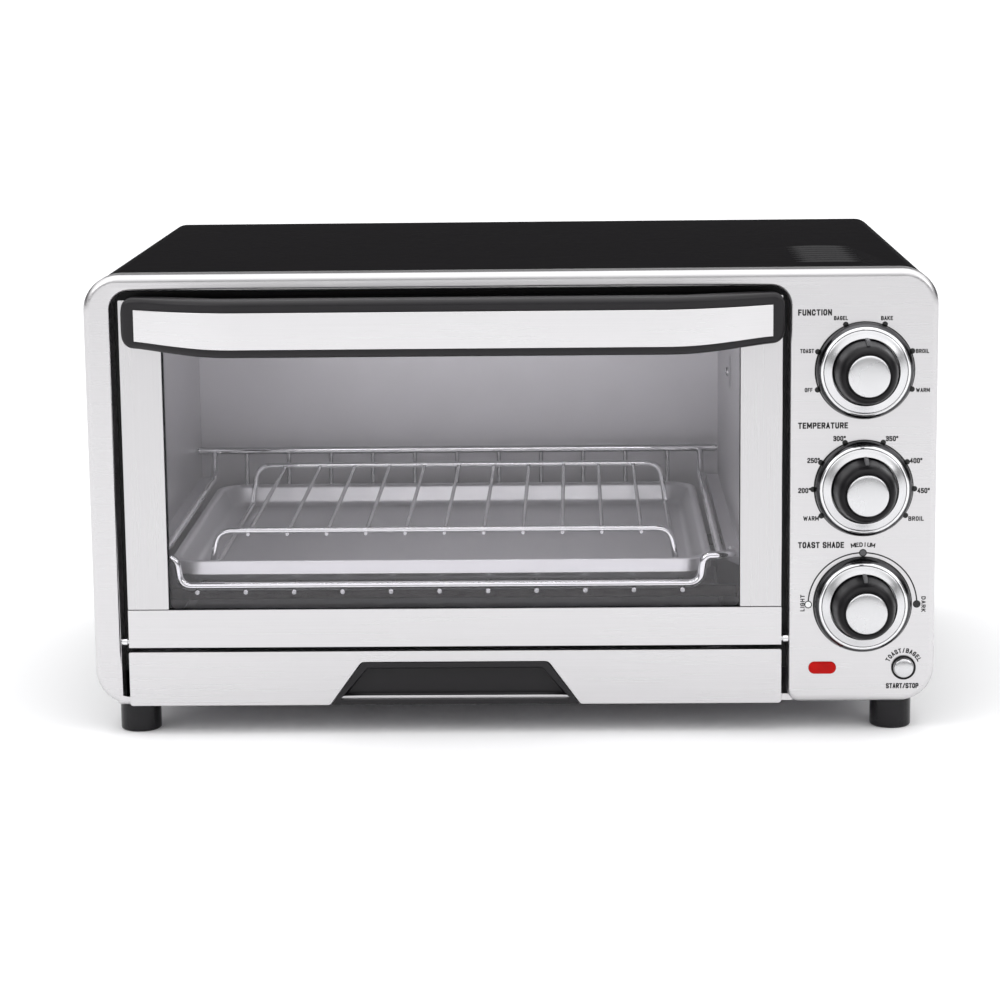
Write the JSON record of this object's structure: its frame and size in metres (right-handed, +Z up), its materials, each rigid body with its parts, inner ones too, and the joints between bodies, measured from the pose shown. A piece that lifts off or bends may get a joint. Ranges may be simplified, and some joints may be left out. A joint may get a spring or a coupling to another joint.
{
  "type": "toaster oven",
  "caption": "Countertop toaster oven with a drop-down glass door, bar handle, three-knob control panel, wire racks, baking pan and pull-out crumb tray.",
  "frame": {"origin": "middle of the oven's box on the worktop, under its feet", "axes": "+X to the right as seen from the front (towards the knobs), +Y towards the back, +Z up; the door and knobs face -Y"},
  "size_m": [0.425, 0.3432, 0.2355],
  "materials": {
    "stainless": "fine horizontal brushing, light satin",
    "cover_black": "satin black paint",
    "frame_black": "semi-matt black paint",
    "galvanised": "bright aluminised sheet, slightly cloudy",
    "chrome": "polished plate",
    "satin_cap": "satin silver",
    "charcoal": "fine moulded texture, charcoal",
    "knob_black": "semi-gloss black",
    "element_steel": "oxidised heater sheath",
    "pan_steel": "light satin sheet",
    "spring_steel": "drawn wire",
    "glass": "clear tempered sheet",
    "lens_red": "translucent red, lamp off",
    "foot_plastic": "glossy charcoal",
    "moulded": "heat-resistant moulding",
    "board": "paper-phenolic board"
  },
  "bodies": {
    "chassis": {"front_bezel": "stainless", "outer_cover": "cover_black", "back_panel": "galvanised", "base_plate": "galvanised", "cord_gland": "knob_black", "foot_front_left": "foot_plastic", "foot_front_right": "foot_plastic", "foot_rear_left": "foot_plastic", "foot_rear_right": "foot_plastic", "front_frame": "frame_black", "cavity_left_wall": "galvanised", "cavity_right_wall": "galvanised", "cavity_ceiling": "galvanised", "cavity_rear_wall": "galvanised", "lower_element_front": "element_steel", "lower_element_rear": "element_steel", "upper_element_front": "element_steel", "upper_element_rear": "element_steel", "element_bracket_left": "galvanised", "element_bracket_right": "galvanised", "hinge_bracket_left": "galvanised", "hinge_bracket_right": "galvanised", "door_spring_left": "spring_steel", "door_spring_right": "spring_steel", "function_switch": "moulded", "thermostat": "galvanised", "shade_timer": "moulded", "control_board": "board", "button_ring": "knob_black", "indicator_lens": "lens_red"},
    "door": {"door_stile_left": "stainless", "door_stile_right": "stainless", "door_bottom_rail": "stainless", "door_inner_frame": "frame_black", "door_glass": "glass", "handle_body": "charcoal", "handle_plate": "stainless", "hinge_pin_left": "chrome", "hinge_pin_right": "chrome", "door_arm_left": "galvanised", "door_arm_right": "galvanised"},
    "rack": {"oven_rack": "chrome"},
    "pan": {"baking_pan": "pan_steel"},
    "broil_rack": {"broil_rack": "chrome"},
    "function_knob": {"function_knob_skirt": "chrome", "function_knob_grip": "knob_black", "function_knob_cap": "satin_cap", "function_shaft": "galvanised"},
    "temperature_knob": {"temperature_knob_skirt": "chrome", "temperature_knob_grip": "knob_black", "temperature_knob_cap": "satin_cap", "temperature_shaft": "galvanised"},
    "shade_knob": {"shade_knob_skirt": "chrome", "shade_knob_grip": "knob_black", "shade_knob_cap": "satin_cap", "shade_shaft": "galvanised"},
    "start_button": {"start_button": "satin_cap"},
    "crumb_tray": {"crumb_tray": "galvanised", "crumb_panel": "stainless", "crumb_grip": "charcoal"}
  },
  "joints": [
    {"name": "door_hinge", "type": "hinge", "parent": "chassis", "child": "door", "pos_m": [-0.0297, -0.14105, 0.0485], "axis": [1, 0, 0], "range_deg": [0, 90], "stiffness_Nm_per_rad": 0.35, "springref_deg": -28.65, "deforming": ["door_spring_left", "door_spring_right"]},
    {"name": "rack_slide", "type": "slide", "parent": "chassis", "child": "rack", "axis": [0, -1, 0], "range_m": [0, 0.055]},
    {"name": "pan_lift", "type": "slide", "parent": "rack", "child": "pan", "axis": [0, 0, 1], "range_m": [0, 0.02]},
    {"name": "broil_rack_lift", "type": "slide", "parent": "pan", "child": "broil_rack", "axis": [0, 0, 1], "range_m": [0, 0.02]},
    {"name": "function_knob_turn", "type": "hinge", "parent": "chassis", "child": "function_knob", "pos_m": [0.176, -0.15445, 0.1851], "axis": [0, 1, 0], "range_deg": [-112.5, 112.5]},
    {"name": "temperature_knob_turn", "type": "hinge", "parent": "chassis", "child": "temperature_knob", "pos_m": [0.176, -0.15445, 0.1258], "axis": [0, 1, 0], "range_deg": [-124, 124]},
    {"name": "shade_knob_turn", "type": "hinge", "parent": "chassis", "child": "shade_knob", "pos_m": [0.176, -0.15445, 0.0665], "axis": [0, 1, 0], "range_deg": [-90, 90]},
    {"name": "start_button_press", "type": "slide", "parent": "chassis", "child": "start_button", "axis": [0, 1, 0], "range_m": [0, 0.0025], "stiffness_N_per_m": 300},
    {"name": "crumb_tray_slide", "type": "slide", "parent": "chassis", "child": "crumb_tray", "axis": [0, -1, 0], "range_m": [0, 0.14]}
  ],
  "couplings": [
    {"joint": "rack_slide", "follows": "door_hinge", "m_per_rad": 0.035}
  ]
}
